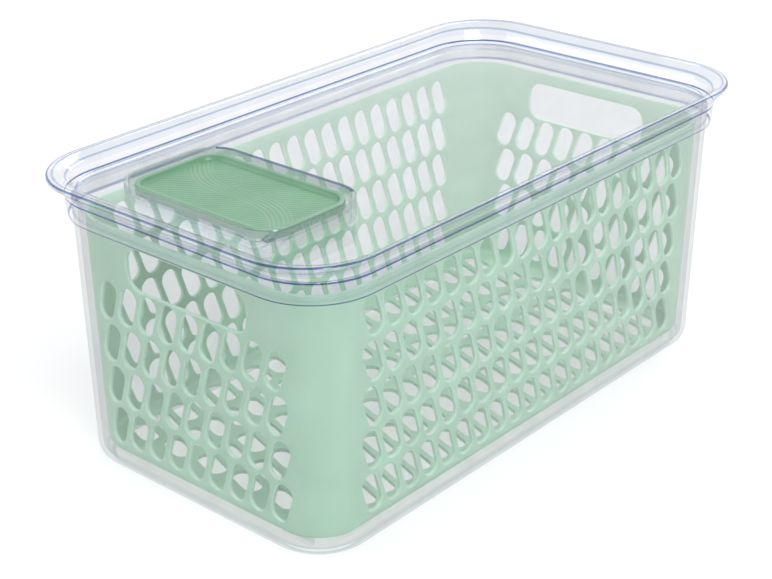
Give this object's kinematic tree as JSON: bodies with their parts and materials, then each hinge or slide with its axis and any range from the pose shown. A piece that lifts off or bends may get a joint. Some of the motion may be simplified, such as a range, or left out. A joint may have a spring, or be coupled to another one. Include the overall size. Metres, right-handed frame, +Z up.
{
  "type": "fridge storage box",
  "caption": "Clear lidded produce box with a perforated basket inside and a sliding vent shutter in the lid.",
  "frame": {"origin": "centre of the bin's foot, on the surface that it stands on", "axes": "+Z up, Y along the long side with the vent at the -Y end, X across"},
  "size_m": [0.1822, 0.33, 0.1452],
  "materials": {
    "clear_bin": "clear, glossy",
    "green_basket": "satin",
    "clear_lid": "clear, glossy",
    "green_shutter": "satin"
  },
  "bodies": {
    "box": {"bin": "clear_bin", "basket": "green_basket", "lid": "clear_lid"},
    "vent_shutter": {"vent_shutter": "green_shutter"}
  },
  "joints": [
    {"name": "vent_slide", "type": "slide", "parent": "box", "child": "vent_shutter", "axis": [1, 0, 0], "range_m": [-0.0024, 0.0024]}
  ]
}
